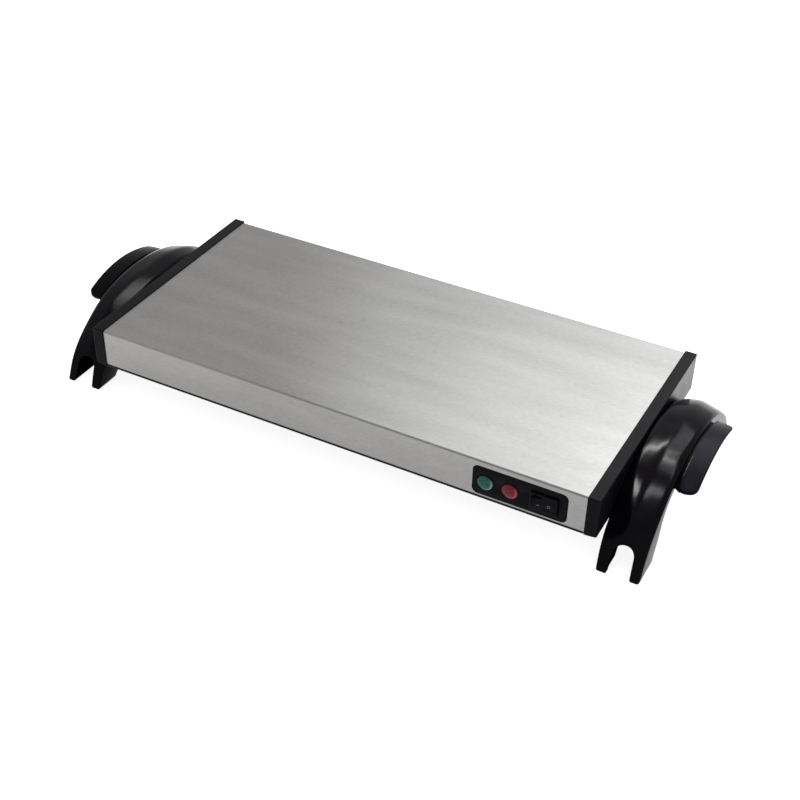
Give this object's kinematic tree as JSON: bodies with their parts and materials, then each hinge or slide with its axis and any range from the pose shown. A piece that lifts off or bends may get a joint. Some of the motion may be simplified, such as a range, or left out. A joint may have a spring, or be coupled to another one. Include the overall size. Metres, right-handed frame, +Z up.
{
  "type": "electric food warmer tray",
  "caption": "Low countertop warming tray with a brushed steel top, black end caps, arched fork-footed handles and a front panel with indicator lamps and a rocker switch.",
  "frame": {"origin": "middle of the tray's footprint, on the surface that the feet stand on", "axes": "+X along the tray from the left handle to the right handle, -Y towards the front with the switch, +Z up"},
  "size_m": [0.618, 0.2446, 0.0729],
  "materials": {
    "brushed_stainless": "stainless sheet brushed along the tray",
    "plated_steel": "zinc-plated steel sheet",
    "black_coated_steel": "black powder-coated steel sheet",
    "zinc_screws": "bright zinc-plated steel",
    "satin_black_plastic": "moulded satin black",
    "gloss_black_plastic": "moulded gloss black",
    "panel_black_plastic": "moulded satin black",
    "switch_black_plastic": "moulded semi-gloss black",
    "inlet_black_plastic": "moulded matt black",
    "green_lens": "translucent green moulding",
    "red_lens": "translucent red moulding",
    "lamp_glass": "clear lamp envelope",
    "brass_blades": "stamped or turned brass",
    "aluminium_sheet": "rolled aluminium sheet",
    "mica_sheet": "pressed mica sheet",
    "fibre_blanket": "needled mineral fibre",
    "resistance_strip": "rolled resistance alloy",
    "thermostat_body": "phenolic moulding with a steel can",
    "white_ceramic": "glazed porcelain"
  },
  "bodies": {
    "tray": {"steel_sleeve": "brushed_stainless", "bottom_cover": "black_coated_steel", "bottom_screws": "zinc_screws", "right_end_cap": "satin_black_plastic", "left_end_cap": "satin_black_plastic", "right_screw_plate": "plated_steel", "left_screw_plate": "plated_steel", "handle_screws": "zinc_screws", "right_handle": "gloss_black_plastic", "left_handle": "gloss_black_plastic", "control_panel": "panel_black_plastic", "green_lens": "green_lens", "red_lens": "red_lens", "green_lamp": "lamp_glass", "red_lamp": "lamp_glass", "switch_frame": "switch_black_plastic", "switch_contacts": "brass_blades", "heat_spreader": "aluminium_sheet", "upper_mica": "mica_sheet", "heater_core": "mica_sheet", "lower_mica": "mica_sheet", "insulation_blanket": "fibre_blanket", "heater_ribbon": "resistance_strip", "pressure_plate": "plated_steel", "heater_studs": "zinc_screws", "heater_nuts": "zinc_screws", "thermostat": "thermostat_body", "thermal_fuse": "resistance_strip", "fuse_clip": "plated_steel", "small_screws": "zinc_screws", "power_inlet": "inlet_black_plastic", "inlet_pins": "brass_blades", "inlet_screws": "zinc_screws", "inlet_nuts": "zinc_screws", "terminal_block": "white_ceramic", "terminal_screws": "brass_blades", "earth_stud": "zinc_screws", "earth_nuts": "zinc_screws", "earth_tag": "brass_blades"},
    "rocker": {"switch_rocker": "switch_black_plastic"}
  },
  "joints": [
    {"name": "rocker_pivot", "type": "hinge", "parent": "tray", "child": "rocker", "pos_m": [0.20248, -0.11675, 0.0505], "axis": [0, 0, 1], "range_deg": [-22, 0]}
  ]
}
